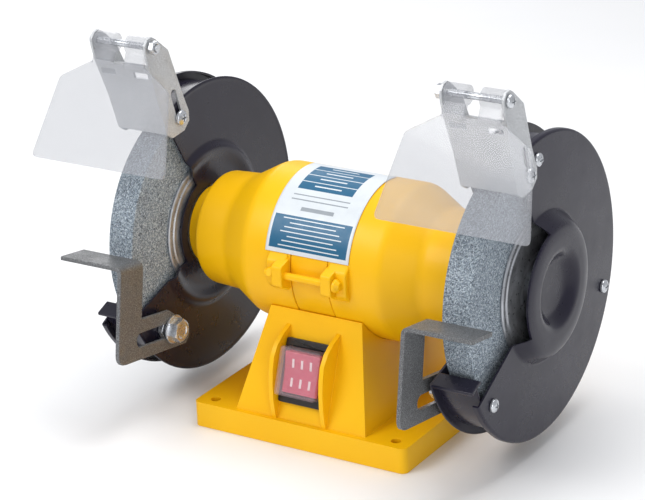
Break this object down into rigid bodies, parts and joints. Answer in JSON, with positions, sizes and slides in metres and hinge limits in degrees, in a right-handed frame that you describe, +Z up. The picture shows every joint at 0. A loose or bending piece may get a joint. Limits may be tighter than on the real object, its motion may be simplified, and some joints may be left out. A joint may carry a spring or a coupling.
{
  "type": "bench grinder",
  "caption": "Double-ended bench grinder: motor on a pedestal base, guarded abrasive wheels, adjustable tool rests, hinged clear eye shields and a rocker switch.",
  "frame": {"origin": "middle of the base's underside, on the bench", "axes": "+X along the shaft to the operator's right, -Y towards the operator, +Z up"},
  "size_m": [0.3252, 0.1993, 0.2339],
  "materials": {
    "yellow_paint": "glossy yellow enamel over castings",
    "black_paint": "glossy black paint on pressed sheet",
    "zinc_plate": "zinc plated sheet, lightly speckled",
    "bright_steel": "bright plated steel",
    "core_steel": "laminated steel, hidden inside",
    "winding": "varnished copper wire, hidden inside",
    "abrasive": "grey vitrified abrasive, granular",
    "black_plastic": "satin black moulding",
    "red_plastic": "translucent red moulding",
    "clear_plastic": "clear moulded plastic",
    "label_foil": "white foil label with plain blue panels"
  },
  "bodies": {
    "frame": {"base_casting": "yellow_paint", "bottom_cover": "zinc_plate", "cable_gland": "black_plastic", "capacitor": "black_plastic", "saddle_screw_left": "zinc_plate", "saddle_screw_right": "zinc_plate", "switch_body": "black_plastic", "switch_boot": "clear_plastic", "right_end_bell": "yellow_paint", "left_end_bell": "yellow_paint", "stator_band": "yellow_paint", "stator_core": "core_steel", "right_stator_coil": "winding", "left_stator_coil": "winding", "right_bearing": "bright_steel", "left_bearing": "bright_steel", "through_bolt_front": "yellow_paint", "through_nut_front": "yellow_paint", "through_bolt_rear": "yellow_paint", "through_nut_rear": "yellow_paint", "rating_label": "label_foil", "right_inner_guard": "black_paint", "left_inner_guard": "black_paint", "right_outer_cover": "black_paint", "left_outer_cover": "black_paint", "right_cover_screw_1": "bright_steel", "left_cover_screw_1": "bright_steel", "right_cover_screw_2": "bright_steel", "left_cover_screw_2": "bright_steel", "right_cover_screw_3": "bright_steel", "left_cover_screw_3": "bright_steel", "right_rest_weld_nut": "bright_steel", "left_rest_weld_nut": "bright_steel", "right_bracket_screw_inner": "bright_steel", "left_bracket_screw_inner": "bright_steel", "right_bracket_screw_outer": "bright_steel", "left_bracket_screw_outer": "bright_steel"},
    "spindle": {"spindle_shaft": "bright_steel", "rotor_core": "core_steel", "right_inner_flange": "bright_steel", "left_inner_flange": "bright_steel", "right_grinding_wheel": "abrasive", "left_grinding_wheel": "abrasive", "right_outer_flange": "bright_steel", "left_outer_flange": "bright_steel", "right_arbor_nut": "bright_steel", "left_arbor_nut": "bright_steel"},
    "rocker": {"switch_rocker": "red_plastic"},
    "right_rest_clamp": {"right_rest_bolt": "bright_steel"},
    "left_rest_clamp": {"left_rest_bolt": "bright_steel"},
    "right_rest": {"right_tool_rest": "zinc_plate"},
    "left_rest": {"left_tool_rest": "zinc_plate"},
    "right_bracket": {"right_shield_bracket": "zinc_plate", "right_pivot_bolt": "bright_steel", "right_pivot_nut": "bright_steel"},
    "left_bracket": {"left_shield_bracket": "zinc_plate", "left_pivot_bolt": "bright_steel", "left_pivot_nut": "bright_steel"},
    "right_shield": {"right_eye_shield": "clear_plastic"},
    "left_shield": {"left_eye_shield": "clear_plastic"}
  },
  "joints": [
    {"name": "spindle_spin", "type": "hinge", "parent": "frame", "child": "spindle", "pos_m": [0, 0, 0.101], "axis": [1, 0, 0], "continuous": true},
    {"name": "switch_rock", "type": "hinge", "parent": "frame", "child": "rocker", "pos_m": [0, -0.05407, 0.0432], "axis": [-1, 0, 0], "range_deg": [0, 12]},
    {"name": "right_rest_tilt", "type": "hinge", "parent": "frame", "child": "right_rest_clamp", "pos_m": [0.093, -0.0547, 0.0536], "axis": [1, 0, 0], "range_deg": [-1, 20]},
    {"name": "left_rest_tilt", "type": "hinge", "parent": "frame", "child": "left_rest_clamp", "pos_m": [-0.093, -0.0547, 0.0536], "axis": [1, 0, 0], "range_deg": [-1, 20]},
    {"name": "right_rest_slide", "type": "slide", "parent": "right_rest_clamp", "child": "right_rest", "axis": [0, -0.9877, 0.1564], "range_m": [-0.001, 0.0044]},
    {"name": "left_rest_slide", "type": "slide", "parent": "left_rest_clamp", "child": "left_rest", "axis": [0, -0.9877, 0.1564], "range_m": [-0.001, 0.0044]},
    {"name": "right_bracket_slide", "type": "slide", "parent": "frame", "child": "right_bracket", "axis": [0, -0.309, 0.9511], "range_m": [-0.0035, 0.0015]},
    {"name": "left_bracket_slide", "type": "slide", "parent": "frame", "child": "left_bracket", "axis": [0, -0.309, 0.9511], "range_m": [-0.0035, 0.0015]},
    {"name": "right_shield_tilt", "type": "hinge", "parent": "right_bracket", "child": "right_shield", "pos_m": [0.1155, -0.054, 0.228], "axis": [-1, 0, 0], "range_deg": [-4, 100]},
    {"name": "left_shield_tilt", "type": "hinge", "parent": "left_bracket", "child": "left_shield", "pos_m": [-0.1155, -0.054, 0.228], "axis": [-1, 0, 0], "range_deg": [-4, 100]}
  ]
}
